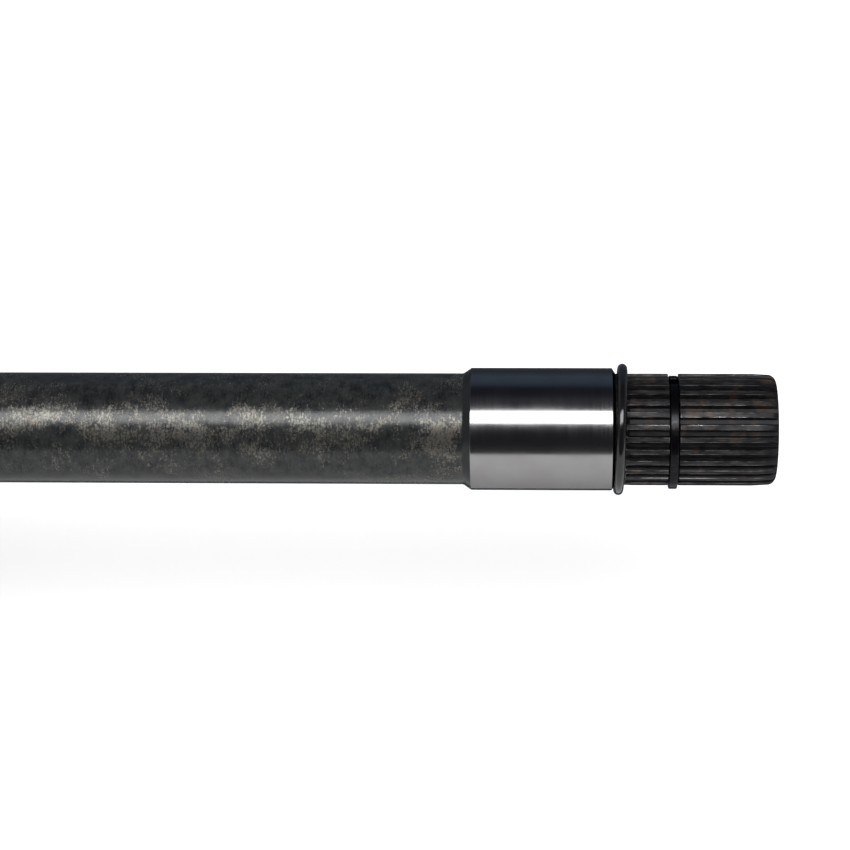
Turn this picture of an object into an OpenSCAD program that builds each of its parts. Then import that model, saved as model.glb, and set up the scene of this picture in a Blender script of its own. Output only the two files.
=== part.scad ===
// Front half shaft of a car with an intermediate shaft: a plunging tripod joint, a fixed ball joint
// and a carrier bearing. Millimetres. The axle lies along X, inboard (gearbox) end at +X, with its
// origin at the centre of the carrier bearing.

/* [Intermediate shaft] */
// Diameter of the plain shaft between the carrier bearing and the seal journal
shaft_d = 31.85; // [31.5:0.05:31.9]
// Diameter of the ground journal that the gearbox oil seal runs on
journal_d = 35; // [34.5:0.1:35.5]
// Length of the ground journal
journal_len = 40; // [30:1:50]
// Diameter over the inboard spline teeth
spline_d = 31.9; // [31.7:0.1:32.1]
// Number of inboard spline teeth
spline_teeth = 28; // [24:1:30]
// Length of the inboard spline
spline_len = 41.7; // [38:0.1:46]
// Inboard end face, from the carrier bearing's centre
tip_x = 300; // [260:5:400]
// Radius that rounds the inboard end
nose_r = 2.6; // [1.5:0.1:3]

/* [O-ring and circlip] */
// Thickness of the O-ring's section
o_ring_section = 2.9; // [2.6:0.1:3]
// Lean of the O-ring, top towards the gearbox, in degrees
o_ring_lean = 1.74; // [0:0.1:1.8]
// Width of the circlip's section, along the shaft
circlip_w = 2.4; // [2:0.1:2.6]
// Thickness of the circlip's section, across the shaft
circlip_t = 2.1; // [1.8:0.1:2.1]
// Outer diameter of the circlip
circlip_d = 32.4; // [32:0.1:32.6]
// How far the circlip hangs below the shaft's axis in its groove
circlip_sag = 0.98; // [0:0.02:1]
// Opening of the circlip, in degrees
circlip_gap = 14; // [10:1:30]

/* [Carrier bearing] */
// Bore of the carrier bearing
bearing_bore = 40; // [39:0.5:40]
// Outer diameter of the carrier bearing
bearing_d = 68; // [68:0.5:70]
// Width of the carrier bearing
bearing_w = 15; // [15:0.5:16]
// Number of balls in the carrier bearing
bearing_balls = 12; // [9:1:13]
// Diameter of the carrier bearing's balls
bearing_ball_d = 7.94; // [7.5:0.02:8]

/* [Inner joint] */
// Distance from the carrier bearing's centre to the inner joint's centre
inner_joint_dist = 72; // [72:1:75]
// Distance from the joint's axis to the middle of a roller
roller_pitch_r = 27; // [27:0.1:27.2]
// Diameter of a roller
roller_d = 33; // [32.6:0.1:33]
// Width of a roller
roller_w = 12; // [11.6:0.1:12]
// Number of needles under each roller
needles = 28; // [20:1:30]

/* [Bar shaft] */
// Distance between the centres of the two joints
bar_span = 398; // [360:2:500]
// Diameter of the bar
bar_d = 26; // [25:0.5:26.5]
// Diameter of the bar at its necks, in the joints
bar_neck_d = 24; // [23.5:0.1:24]

/* [Outer joint] */
// Distance from the joint's axis to the middle of a ball
ball_pitch_r = 30; // [29.9:0.1:30.2]
// Diameter of a ball
ball_d = 16; // [15.8:0.1:16]
// Outer diameter of the outer joint's bell
bell_d = 90; // [90:1:96]
// Number of teeth of the tone ring
tone_teeth = 48; // [40:1:52]

/* [Hub end] */
// Diameter over the outboard spline teeth
hub_spline_d = 28; // [27.6:0.1:28]
// Number of outboard spline teeth
hub_spline_teeth = 27; // [24:1:28]
// Diameter of the pilot next to the hub face
hub_pilot_d = 30; // [30:0.5:32]
// Diameter of the thread for the axle nut
hub_thread_d = 24; // [22:1:24]

/* [Hidden] */

// Facets of round shapes, and how far a cutter runs past the face that it cuts
round_fn = 96;
small_fn = 48;
past = 1;
// Clearance of pieces pressed together, of running fits, and between pieces of different bodies
press_gap = 0.02;
fit_gap = 0.06;
body_gap = 0.3;

// Places along the intermediate shaft
spline_x = tip_x - spline_len;
o_seat_len = 3.8;
o_seat_x = spline_x - o_seat_len;
journal_chamfer = 1;
journal_end_x = o_seat_x - journal_chamfer;
journal_x = journal_end_x - journal_len;
journal_cone = 2.3;
o_seat_r = 15.9;
nose_taper_len = 7;
nose_taper = 0.25;
circlip_x = tip_x - 29.1;
circlip_groove_w = 3;
circlip_floor_r = 13;
circlip_gap_dir = 169;
o_ring_lean_dir = -35;
bearing_seat_end = 12;
bearing_seat_ramp = 8;
shoulder_r = 23;
weld_x = -22;

// Spline grooves, which start a little behind the spline's end
groove_setback = 0.5;
spline_depth = 1.6;
groove_root_w = 1.2;
groove_flare = 0.32;
spline_phase = 1.6;

// Retaining rings: how wide, how thick, and the opening in degrees
snap_w = 2.6;
snap_t = 1.5;
snap_gap = 26;
snap_depth = 1;

// Carrier bearing
bearing_pitch_r = (bearing_bore + bearing_d) / 4;
land_r = 3;
race_gap = 0.08;
seal_t = 1.2;
seal_inset = 0.4;
seal_seat = 1.2;
cage_t = 1.8;
cage_half_w = 4.8;
pocket_gap = 0.18;

// Inner joint: the housing runs from its open mouth at the left to the weld at the right
inner_x = -inner_joint_dist;
mouth_x = inner_x - 40;
collar_x = mouth_x + 18;
collar_r = 44;
track_half_w = roller_d / 2 + 0.1;
track_top = roller_pitch_r + roller_w / 2 + 0.6;
track_end_x = inner_x + 23.7;
bowl_r = 27;
bowl_mouth_r = 35;
bowl_end_x = -32;
bowl_corner = 4;
lobe_r = 40;
lobe_half_w = 22;
lobe_corner_r = 10;
core_r = 34;
taper_x = -45;
hub_half_len = 11.5;
hub_r = 17.5;
trunnion_r = 9;
trunnion_flat = 5;
shank_r = 6.5;
ring_bore_r = 9.8;
ring_r = 11.2;
ring_lip_r = 13.2;
ring_lip_t = 0.7;
ring_half_len = 5.8;
needle_r = 1.25;
needle_half_len = 5;
needle_pitch_r = ring_r + fit_gap / 2 + needle_r;
roller_bore_r = needle_pitch_r + needle_r + fit_gap;
roller_crown = 0.5;
trunnions = 3;

// Outer joint
outer_x = inner_x - bar_span;
joint_balls = 6;
race_r = 25.5;
race_half_len = 12;
race_groove_end = 42;
groove_gap = 1.3;
groove_r = ball_d / 2 + groove_gap;
cage_in_r = race_r + body_gap;
cage_out_r = 33.3;
cage_len = 22;
window_len = ball_d + 0.3;
window_w = 20;
window_floor = 20;
bell_in_r = cage_out_r + body_gap;
bell_back = 28;
bell_groove_to_hub = 42;
bell_groove_to_bar = 48;
bell_mouth = 19;
flare_from = 12;
flare_r = 17.8;
bell_seat_r = 43.5;
bell_seat_end = 5;
tone_seat_r = 36;
tone_from = 26;
tone_w = 10;
hub_face = 50;
hub_face_r = 30;
pilot_end = 64;
hub_spline_end = 100;
thread_from = 103;
thread_end = 126;
stub_end = 128;
thread_relief_r = 10.3;
hub_spline_depth = 1.2;
stake_slot_w = 3;
stake_slot_len = 9;
stake_slot_depth = 2;

// Bar
bar_in_end = inner_x + 17;
bar_out_end = outer_x - 16;
bar_neck_in = inner_x - 65;
bar_neck_out = outer_x + 45;
bar_ramp = 8;
boot_seat_r = 13.5;
boot_seat_len = 22;

// Boots: cuffs, wall, and the radii of the folds' peaks and valleys from the housing to the bar
cuff_t = 2.5;
small_cuff_len = 14;
boot_wall = 2.6;
inner_cuff_x = collar_x - 2;
inner_cuff_len = 12;
inner_small_cuff_x = inner_x - 108;
inner_fold_pitch = 12.5;
inner_peaks = [44, 43, 38.5, 31];
inner_valleys = [36, 33.5, 27, 19.5];
outer_cuff_x = outer_x + 6;
outer_cuff_len = 12;
outer_small_cuff_x = outer_x + 102;
outer_fold_pitch = 12;
outer_peaks = [44, 41, 36.5, 31.5, 26.5, 21.5];
outer_valleys = [35.5, 31.5, 28, 24.5, 21, 17.5];

// Clamps
clamp_w = 8;
clamp_t = 0.8;
ear_len = 7;
ear_h = 3;

// Points of an arc in an outline, from angle a0 to a1 about [x, r]
function arc(x, r, radius, a0, a1, steps = 8) =
    [for (i = [0:steps]) let (a = a0 + (a1 - a0) * i / steps) [x + radius * cos(a), r + radius * sin(a)]];

// An outline with a wall: the outer points, then the same ones closer to the axis
function walled(points, wall) =
    concat(points, [for (i = [len(points) - 1:-1:0]) [points[i][0], points[i][1] - wall]]);

// Solid turned about the X axis from an outline of [x, r] points
module turned(points) {
    rotate([0, 90, 0])
        rotate_extrude($fn = round_fn)
            polygon([for (p = points) [p[1], p[0]]]);
}

// Plain ring about the X axis
module ring(x0, x1, r_in, r_out) {
    turned([[x0, r_in], [x1, r_in], [x1, r_out], [x0, r_out]]);
}

// Ring about the X axis with its two outer edges broken
module chamfered_ring(x0, x1, r_in, r_out, c) {
    turned([[x0, r_in], [x1, r_in], [x1, r_out - c], [x1 - c, r_out], [x0 + c, r_out], [x0, r_out - c]]);
}

// Torus about the X axis
module torus(x, major, minor) {
    translate([x, 0, 0])
        rotate([0, 90, 0])
            rotate_extrude($fn = round_fn)
                translate([major, 0])
                    circle(r = minor, $fn = small_fn);
}

// Cutters for the grooves between spline teeth, from x0 to x1
module spline_grooves(x0, x1, teeth, r, depth) {
    root = r - depth;
    top = r + past;
    flare = groove_root_w / 2 + groove_flare * (depth + past);
    for (i = [0:teeth - 1])
        rotate([(i + 0.5) * 360 / teeth, 0, 0])
            translate([x0, 0, 0])
                rotate([90, 0, 90])
                    linear_extrude(x1 - x0)
                        polygon([[-groove_root_w / 2, root], [groove_root_w / 2, root], [flare, top], [-flare, top]]);
}

// External retaining ring with two eyed lugs beside its opening
module snap_ring(x, r_in, width = snap_w, thick = snap_t, lug_r = 2) {
    r_out = r_in + width;
    lug_dir = snap_gap / 2 + 5;
    translate([x, 0, 0])
        rotate([90, 0, 90])
            linear_extrude(thick)
                difference() {
                    union() {
                        difference() {
                            circle(r = r_out, $fn = round_fn);
                            polygon([[0, 0], 2 * r_out * [cos(snap_gap / 2), sin(snap_gap / 2)],
                                     2 * r_out * [cos(snap_gap / 2), -sin(snap_gap / 2)]]);
                        }
                        for (side = [-1, 1])
                            rotate(side * lug_dir)
                                translate([r_in + lug_r, 0])
                                    circle(r = lug_r, $fn = small_fn);
                    }
                    circle(r = r_in, $fn = round_fn);
                    for (side = [-1, 1])
                        rotate(side * lug_dir)
                            translate([r_in + lug_r, 0])
                                circle(r = lug_r / 2, $fn = small_fn);
                }
}

// Children placed on trunnion i of the tripod, their Z along the trunnion
module on_trunnion(i) {
    translate([inner_x, 0, 0])
        rotate([(i - 1) * 360 / trunnions, 0, 0])
            translate([0, 0, roller_pitch_r])
                children();
}

// Sphere whose poles are on the X axis
module ball(r) {
    rotate([0, 90, 0])
        sphere(r = r, $fn = round_fn);
}

// Meridian grooves that the outer joint's balls roll in, this many degrees to each side of the middle
module ball_grooves(to_hub, to_bar) {
    for (i = [0:joint_balls - 1])
        rotate([i * 360 / joint_balls, 0, 0])
            rotate([0, 0, 90 - to_bar])
                rotate_extrude(angle = to_bar + to_hub, $fn = round_fn)
                    translate([ball_pitch_r, 0])
                        circle(r = groove_r, $fn = small_fn);
}

// Band clamp about the X axis with one crimped ear on top
module clamp(x, r_in) {
    ring(x, x + clamp_w, r_in, r_in + clamp_t);
    translate([x + clamp_w / 2, 0, r_in + clamp_t / 2])
        difference() {
            translate([-clamp_w / 2, -ear_len / 2, 0])
                cube([clamp_w, ear_len, ear_h]);
            translate([-clamp_w / 2 - past, 0, ear_h])
                rotate([0, 90, 0])
                    cylinder(h = clamp_w + 2 * past, r = ear_h / 3, $fn = small_fn);
        }
}

module intermediate_shaft() {
    end_r = spline_d / 2 - nose_taper;
    snap_x = bearing_w / 2 + press_gap;
    seat_r = bearing_bore / 2 - press_gap;
    color("dimgray")
        difference() {
            turned(concat(
                [[weld_x, 0], [weld_x, shoulder_r], [-bearing_w / 2, shoulder_r], [-bearing_w / 2, seat_r],
                 [bearing_seat_end, seat_r], [bearing_seat_end + bearing_seat_ramp, shaft_d / 2],
                 [journal_x - journal_cone, shaft_d / 2], [journal_x, journal_d / 2],
                 [journal_end_x, journal_d / 2], [o_seat_x, o_seat_r], [spline_x, o_seat_r],
                 [spline_x, spline_d / 2], [tip_x - nose_taper_len, spline_d / 2]],
                arc(tip_x - nose_r, end_r - nose_r, nose_r, 90, 0),
                [[tip_x, 0]]));
            ring(snap_x, snap_x + snap_t + 4 * press_gap, seat_r - snap_depth, seat_r + past);
            ring(circlip_x - circlip_groove_w / 2, circlip_x + circlip_groove_w / 2, circlip_floor_r, spline_d);
            rotate([spline_phase, 0, 0])
                spline_grooves(spline_x + groove_setback, tip_x + past, spline_teeth, spline_d / 2, spline_depth);
            turned([[tip_x - 6, 0], [tip_x - 3, 1.8], [tip_x + past, 6.5], [tip_x + past, 0]]);
        }
}

module o_ring() {
    minor = o_ring_section / 2;
    color("#101010")
        translate([o_seat_x + minor, 0, 0])
            rotate([o_ring_lean_dir, 0, 0])
                rotate([0, o_ring_lean, 0])
                    torus(0, o_seat_r + 0.05 + minor, minor);
}

module circlip() {
    color("#151517")
        translate([circlip_x, 0, -circlip_sag])
            rotate([0, 90, 0])
                rotate([0, 0, circlip_gap_dir + circlip_gap / 2])
                    rotate_extrude(angle = 360 - circlip_gap, $fn = round_fn)
                        translate([(circlip_d - circlip_t) / 2, 0])
                            square([circlip_t, circlip_w], center = true);
}

module carrier_inner_ring() {
    color("silver")
        difference() {
            chamfered_ring(-bearing_w / 2, bearing_w / 2, bearing_bore / 2, bearing_pitch_r - land_r, 0.4);
            torus(0, bearing_pitch_r, bearing_ball_d / 2 + race_gap);
        }
}

module carrier_outer_ring() {
    seat_x = bearing_w / 2 - seal_inset - seal_t;
    land = bearing_pitch_r + land_r;
    color("silver")
        difference() {
            chamfered_ring(-bearing_w / 2, bearing_w / 2, land, bearing_d / 2, 0.8);
            torus(0, bearing_pitch_r, bearing_ball_d / 2 + race_gap);
            ring(seat_x, bearing_w, land - past, land + seal_seat);
            ring(-bearing_w, -seat_x, land - past, land + seal_seat);
        }
}

module carrier_balls() {
    color("gainsboro")
        for (i = [0:bearing_balls - 1])
            rotate([i * 360 / bearing_balls, 0, 0])
                translate([0, 0, bearing_pitch_r])
                    sphere(d = bearing_ball_d, $fn = small_fn);
}

module carrier_cage() {
    color("goldenrod")
        difference() {
            ring(-cage_half_w, cage_half_w, bearing_pitch_r - cage_t / 2, bearing_pitch_r + cage_t / 2);
            for (i = [0:bearing_balls - 1])
                rotate([i * 360 / bearing_balls, 0, 0])
                    translate([0, 0, bearing_pitch_r])
                        sphere(d = bearing_ball_d + 2 * pocket_gap, $fn = small_fn);
        }
}

// Rubber-faced seal of the carrier bearing, on the side that side gives
module carrier_seal(side) {
    x = side * (bearing_w / 2 - seal_inset);
    lip_r = bearing_pitch_r - land_r + body_gap;
    rim_r = bearing_pitch_r + land_r + seal_seat - press_gap;
    ring(min(x, x - side * seal_t), max(x, x - side * seal_t), lip_r, rim_r);
}

module carrier_seal_inboard() {
    color("#202020") carrier_seal(1);
}

module carrier_seal_outboard() {
    color("#202020") carrier_seal(-1);
}

module carrier_snap_ring() {
    color("#303030")
        snap_ring(bearing_w / 2 + 2 * press_gap, bearing_bore / 2 - snap_depth, width = 3.4, lug_r = 2.6);
}

module dust_shield() {
    t = 1.2;
    bore = shoulder_r + press_gap;
    rim = bearing_d / 2 + 2;
    face_x = -bearing_w / 2 - 2.1;
    color("darkgray")
        turned([[face_x - 6.4, bore], [face_x, bore], [face_x, rim], [face_x - 4.4, rim], [face_x - 4.4, rim - t],
                [face_x - t, rim - t], [face_x - t, bore + t], [face_x - 6.4, bore + t]]);
}

// Outside of one lobe of the inner joint's housing, its top towards +Z
module lobe() {
    side = lobe_half_w - lobe_corner_r;
    length = weld_x - collar_x + past;
    translate([collar_x - past, -side, 0])
        cube([length, 2 * side, lobe_r]);
    translate([collar_x - past, -lobe_half_w, 0])
        cube([length, 2 * lobe_half_w, lobe_r - lobe_corner_r]);
    for (y = [-side, side])
        translate([collar_x - past, y, lobe_r - lobe_corner_r])
            rotate([0, 90, 0])
                cylinder(h = length, r = lobe_corner_r, $fn = round_fn);
}

// Track of one roller, its top towards +Z, with a round inner end
module track() {
    linear_extrude(track_top) {
        translate([mouth_x - past, -track_half_w])
            square([track_end_x - mouth_x + past, 2 * track_half_w]);
        translate([track_end_x, 0])
            circle(r = track_half_w, $fn = round_fn);
    }
}

module inner_joint_housing() {
    color("#3a3a3c")
        difference() {
            union() {
                chamfered_ring(mouth_x, collar_x, bowl_r - past, collar_r, 0.8);
                intersection() {
                    union() {
                        ring(collar_x - past, weld_x, 0, core_r);
                        for (i = [0:trunnions - 1])
                            rotate([i * 360 / trunnions, 0, 0])
                                lobe();
                    }
                    turned([[mouth_x, 0], [mouth_x, collar_r], [taper_x, collar_r], [weld_x - 2, core_r],
                            [weld_x, core_r - 2], [weld_x, 0]]);
                }
            }
            for (i = [0:trunnions - 1])
                rotate([i * 360 / trunnions, 0, 0])
                    track();
            turned([[mouth_x - past, 0], [mouth_x - past, bowl_mouth_r], [mouth_x, bowl_mouth_r],
                    [collar_x, bowl_r], [bowl_end_x - bowl_corner, bowl_r], [bowl_end_x, bowl_r - 2 * bowl_corner],
                    [bowl_end_x, 0]]);
        }
}

module inner_boot() {
    peak_x = mouth_x - 14.75;
    valley_x = peak_x - inner_fold_pitch / 2;
    folds = [for (i = [0:len(inner_peaks) - 1]) each
        [[peak_x - i * inner_fold_pitch, inner_peaks[i]], [valley_x - i * inner_fold_pitch, inner_valleys[i]]]];
    color("#1b1b1b") {
        ring(inner_cuff_x - inner_cuff_len, inner_cuff_x, collar_r + press_gap, collar_r + press_gap + cuff_t);
        turned(walled(concat(
            [[inner_cuff_x - inner_cuff_len, collar_r + cuff_t], [mouth_x - 1.5, collar_r + cuff_t],
             [mouth_x - 4, 42], [mouth_x - 8.5, 37]],
            folds,
            [[inner_small_cuff_x, boot_seat_r + body_gap + cuff_t]]), boot_wall - body_gap));
        ring(inner_small_cuff_x - small_cuff_len, inner_small_cuff_x, boot_seat_r + body_gap,
             boot_seat_r + body_gap + cuff_t);
    }
}

module inner_boot_clamp_large() {
    color("silver")
        clamp(inner_cuff_x - (inner_cuff_len + clamp_w) / 2, collar_r + cuff_t + 2 * press_gap);
}

module inner_boot_clamp_small() {
    color("silver")
        clamp(inner_small_cuff_x - (small_cuff_len + clamp_w) / 2, boot_seat_r + cuff_t + 2 * body_gap);
}

module tripod_spider() {
    color("#55565a")
        difference() {
            union() {
                chamfered_ring(inner_x - hub_half_len, inner_x + hub_half_len, 0, hub_r, 1);
                for (i = [1:trunnions])
                    on_trunnion(i) {
                        translate([0, 0, -roller_pitch_r + hub_r - 4])
                            cylinder(h = roller_pitch_r - hub_r + 4, r = shank_r, $fn = round_fn);
                        intersection() {
                            sphere(r = trunnion_r, $fn = round_fn);
                            translate([0, 0, -trunnion_r])
                                cylinder(h = trunnion_r + trunnion_flat, r = 2 * trunnion_r, $fn = round_fn);
                        }
                    }
            }
            ring(inner_x - hub_r, inner_x + hub_r, 0, bar_neck_d / 2);
        }
}

module spider_snap_rings() {
    r_in = bar_neck_d / 2 - snap_depth;
    color("#303030") {
        snap_ring(inner_x + hub_half_len + press_gap, r_in);
        snap_ring(inner_x - hub_half_len - press_gap - snap_t, r_in);
    }
}

module tripod_roller(i) {
    crown_r = (roller_w * roller_w / 4 + roller_crown * roller_crown) / (2 * roller_crown);
    half_angle = asin(roller_w / 2 / crown_r);
    color("lightgray")
        on_trunnion(i)
            rotate_extrude($fn = round_fn)
                polygon(concat([[roller_bore_r, -roller_w / 2]],
                    arc(roller_d / 2 - crown_r, 0, crown_r, -half_angle, half_angle),
                    [[roller_bore_r, roller_w / 2]]));
}

module tripod_needles(i) {
    color("gainsboro")
        on_trunnion(i)
            for (n = [0:needles - 1])
                rotate([0, 0, n * 360 / needles])
                    translate([needle_pitch_r, 0, -needle_half_len])
                        cylinder(h = 2 * needle_half_len, r = needle_r, $fn = small_fn);
}

module tripod_ring(i) {
    lip_x = ring_half_len - ring_lip_t;
    color("silver")
        on_trunnion(i)
            rotate_extrude($fn = round_fn)
                polygon([[ring_bore_r, -ring_half_len], [ring_lip_r, -ring_half_len], [ring_lip_r, -lip_x],
                         [ring_r, -lip_x], [ring_r, lip_x], [ring_lip_r, lip_x],
                         [ring_lip_r, ring_half_len], [ring_bore_r, ring_half_len]]);
}

module bar_shaft() {
    neck_r = bar_neck_d / 2 - press_gap;
    seat_in = inner_small_cuff_x - small_cuff_len / 2;
    seat_out = outer_small_cuff_x + small_cuff_len / 2;
    color("#2a2b2d")
        difference() {
            turned([[bar_out_end, 0], [bar_out_end, neck_r - 1], [bar_out_end + 1, neck_r],
                    [bar_neck_out, neck_r], [bar_neck_out + bar_ramp, bar_d / 2],
                    [seat_out - boot_seat_len / 2, bar_d / 2], [seat_out - boot_seat_len / 2 + 1, boot_seat_r],
                    [seat_out + boot_seat_len / 2 - 1, boot_seat_r], [seat_out + boot_seat_len / 2, bar_d / 2],
                    [seat_in - boot_seat_len / 2, bar_d / 2], [seat_in - boot_seat_len / 2 + 1, boot_seat_r],
                    [seat_in + boot_seat_len / 2 - 1, boot_seat_r], [seat_in + boot_seat_len / 2, bar_d / 2],
                    [bar_neck_in - bar_ramp, bar_d / 2], [bar_neck_in, neck_r],
                    [bar_in_end - 1, neck_r], [bar_in_end, neck_r - 1], [bar_in_end, 0]]);
            for (x = [inner_x + hub_half_len, inner_x - hub_half_len - snap_t - 2 * press_gap,
                      outer_x + race_half_len, outer_x - race_half_len - snap_t - 2 * press_gap])
                ring(x, x + snap_t + 2 * press_gap, bar_neck_d / 2 - snap_depth - press_gap, bar_neck_d);
        }
}

module outer_boot() {
    peak_x = outer_x + bell_mouth + 10;
    valley_x = peak_x + outer_fold_pitch / 2;
    cuff_r = bell_seat_r + body_gap;
    folds = [for (i = [0:len(outer_peaks) - 1]) each
        [[peak_x + i * outer_fold_pitch, outer_peaks[i]], [valley_x + i * outer_fold_pitch, outer_valleys[i]]]];
    color("#1b1b1b") {
        ring(outer_cuff_x, outer_cuff_x + outer_cuff_len, cuff_r, cuff_r + cuff_t);
        turned(walled(concat(
            [[outer_cuff_x + outer_cuff_len, cuff_r + cuff_t], [outer_x + bell_mouth + 1.5, cuff_r + cuff_t],
             [outer_x + bell_mouth + 4.5, 41]],
            folds,
            [[outer_small_cuff_x, boot_seat_r + press_gap + cuff_t]]), boot_wall - body_gap));
        ring(outer_small_cuff_x, outer_small_cuff_x + small_cuff_len, boot_seat_r + press_gap,
             boot_seat_r + press_gap + cuff_t);
    }
}

module outer_boot_clamp_large() {
    color("silver")
        clamp(outer_cuff_x + (outer_cuff_len - clamp_w) / 2, bell_seat_r + cuff_t + 2 * body_gap);
}

module outer_boot_clamp_small() {
    color("silver")
        clamp(outer_small_cuff_x + (small_cuff_len - clamp_w) / 2, boot_seat_r + cuff_t + 2 * press_gap);
}

module outer_inner_race() {
    color("#6a6b6f")
        translate([outer_x, 0, 0])
            difference() {
                intersection() {
                    ball(race_r);
                    ring(-race_half_len, race_half_len, 0, race_r + past);
                }
                ball_grooves(race_groove_end, race_groove_end);
                ring(-race_r, race_r, 0, bar_neck_d / 2);
            }
}

module race_snap_rings() {
    r_in = bar_neck_d / 2 - snap_depth;
    color("#303030") {
        snap_ring(outer_x + race_half_len + press_gap, r_in);
        snap_ring(outer_x - race_half_len - press_gap - snap_t, r_in);
    }
}

module outer_cage() {
    color("#4c4d52")
        translate([outer_x, 0, 0])
            difference() {
                intersection() {
                    ball(cage_out_r);
                    ring(-cage_len / 2, cage_len / 2, 0, cage_out_r + past);
                }
                ball(cage_in_r);
                for (i = [0:joint_balls - 1])
                    rotate([i * 360 / joint_balls, 0, 0])
                        translate([-window_len / 2, window_floor, -window_w / 2])
                            cube([window_len, cage_out_r, window_w]);
            }
}

module outer_ball(i) {
    color("gainsboro")
        translate([outer_x, 0, 0])
            rotate([(i - 1) * 360 / joint_balls, 0, 0])
                translate([0, ball_pitch_r, 0])
                    sphere(d = ball_d, $fn = round_fn);
}

module outer_joint_housing() {
    bell_r = bell_d / 2;
    color("#3a3a3c")
        translate([outer_x, 0, 0])
            difference() {
                turned([[bell_mouth, 0], [bell_mouth, bell_seat_r - 0.8], [bell_mouth - 0.8, bell_seat_r],
                        [bell_seat_end, bell_seat_r], [bell_seat_end - 1, bell_r], [-19, bell_r],
                        [-tone_from + 1, bell_r - 4], [-tone_from + 0.5, tone_seat_r],
                        [-tone_from - tone_w - 1, tone_seat_r], [-hub_face + 6, hub_face_r], [-hub_face, hub_face_r],
                        [-hub_face, hub_pilot_d / 2], [-pilot_end, hub_pilot_d / 2],
                        [-pilot_end - 1, hub_spline_d / 2], [-hub_spline_end, hub_spline_d / 2],
                        [-hub_spline_end - 1, thread_relief_r], [-thread_from, thread_relief_r],
                        [-thread_from - 1, hub_thread_d / 2], [-thread_end, hub_thread_d / 2],
                        [-stub_end, hub_thread_d / 2 - 1.6], [-stub_end, 0]]);
                intersection() {
                    ball(bell_in_r);
                    ring(-bell_back, bell_r, 0, bell_r);
                }
                ball_grooves(bell_groove_to_hub, bell_groove_to_bar);
                turned([[flare_from, 0], [flare_from, flare_r + flare_from],
                        [bell_mouth + past, flare_r + bell_mouth + past], [bell_mouth + past, 0]]);
                spline_grooves(-hub_spline_end - past, -pilot_end - 1 - groove_setback, hub_spline_teeth,
                               hub_spline_d / 2, hub_spline_depth);
                turned([[-stub_end - past, 0], [-stub_end - past, 6], [-stub_end + 4, 1.8], [-stub_end + 7, 0]]);
                translate([-stub_end - past, -stake_slot_w / 2, hub_thread_d / 2 - stake_slot_depth])
                    cube([stake_slot_len + past, stake_slot_w, stake_slot_depth + past]);
            }
}

module tone_ring() {
    tooth_h = 2.2;
    tone_r = tone_seat_r + 5.5;
    gap_w = PI * tone_r / tone_teeth;
    color("#77787c")
        translate([outer_x - tone_from - tone_w, 0, 0])
            rotate([90, 0, 90])
                linear_extrude(tone_w)
                    difference() {
                        circle(r = tone_r, $fn = round_fn);
                        circle(r = tone_seat_r + press_gap, $fn = round_fn);
                        for (i = [0:tone_teeth - 1])
                            rotate(i * 360 / tone_teeth)
                                translate([tone_r - tooth_h, -gap_w / 2])
                                    square([tooth_h + past, gap_w]);
                    }
}

intermediate_shaft();
o_ring();
circlip();
carrier_inner_ring();
carrier_outer_ring();
carrier_balls();
carrier_cage();
carrier_seal_inboard();
carrier_seal_outboard();
carrier_snap_ring();
dust_shield();
inner_joint_housing();
inner_boot();
inner_boot_clamp_large();
inner_boot_clamp_small();
tripod_spider();
spider_snap_rings();
tripod_roller(1);  // tripod_roller_1
tripod_roller(2);  // tripod_roller_2
tripod_roller(3);  // tripod_roller_3
tripod_needles(1);  // tripod_needles_1
tripod_needles(2);  // tripod_needles_2
tripod_needles(3);  // tripod_needles_3
tripod_ring(1);  // tripod_ring_1
tripod_ring(2);  // tripod_ring_2
tripod_ring(3);  // tripod_ring_3
bar_shaft();
outer_boot();
outer_boot_clamp_large();
outer_boot_clamp_small();
outer_inner_race();
race_snap_rings();
outer_cage();
outer_ball(1);  // outer_ball_1
outer_ball(2);  // outer_ball_2
outer_ball(3);  // outer_ball_3
outer_ball(4);  // outer_ball_4
outer_ball(5);  // outer_ball_5
outer_ball(6);  // outer_ball_6
outer_joint_housing();
tone_ring();
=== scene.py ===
"""Looks of the CV axle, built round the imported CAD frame. Outlines are in millimetres, about the X axis."""

import math

import bmesh
import bpy
import numpy as np
from mathutils import Matrix, Vector


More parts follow.
